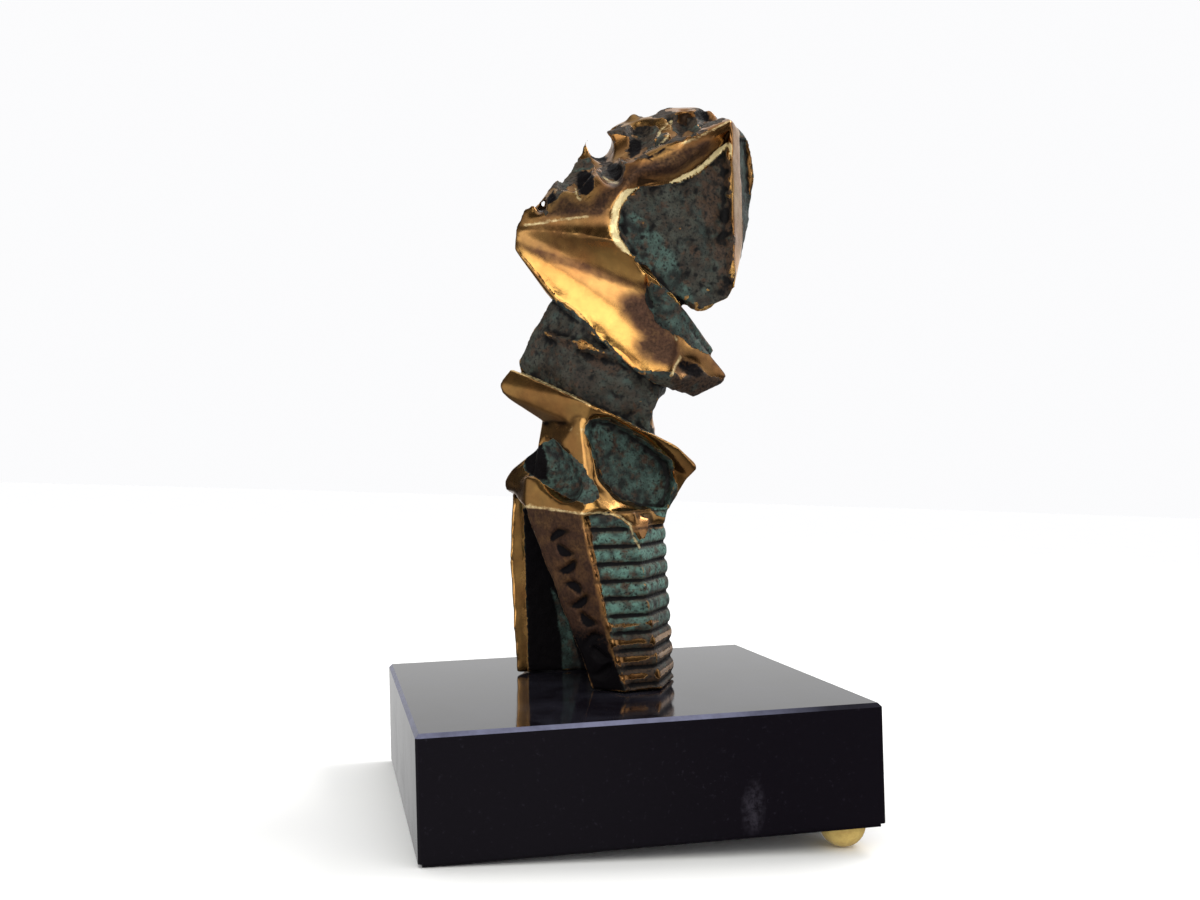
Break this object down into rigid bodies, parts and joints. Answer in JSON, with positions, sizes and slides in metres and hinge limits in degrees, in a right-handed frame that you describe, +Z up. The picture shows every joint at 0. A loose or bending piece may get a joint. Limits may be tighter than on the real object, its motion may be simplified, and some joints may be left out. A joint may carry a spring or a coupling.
{
  "type": "abstract bronze sculpture on a stone plinth",
  "caption": "Small abstract cast bronze sculpture with polished edges and patinated hollows, on a square black stone plinth that leans on its left edge and two right-hand brass feet.",
  "frame": {"origin": "on the floor under the centre of the whole part's box", "axes": "+Z up, -Y the side of the plinth that faces the viewer, +X to the viewer's right, along the plinth's front side"},
  "size_m": [0.1216, 0.12, 0.212],
  "materials": {
    "black_stone": "polished black granite with a few pale flecks",
    "bronze": "cast bronze, edges polished golden brown, hollows patinated dark green",
    "foot_brass": "polished brass"
  },
  "bodies": {
    "root": {"plinth": "black_stone", "bronze": "bronze", "foot_front_right": "foot_brass", "foot_back_right": "foot_brass"}
  },
  "joints": []
}
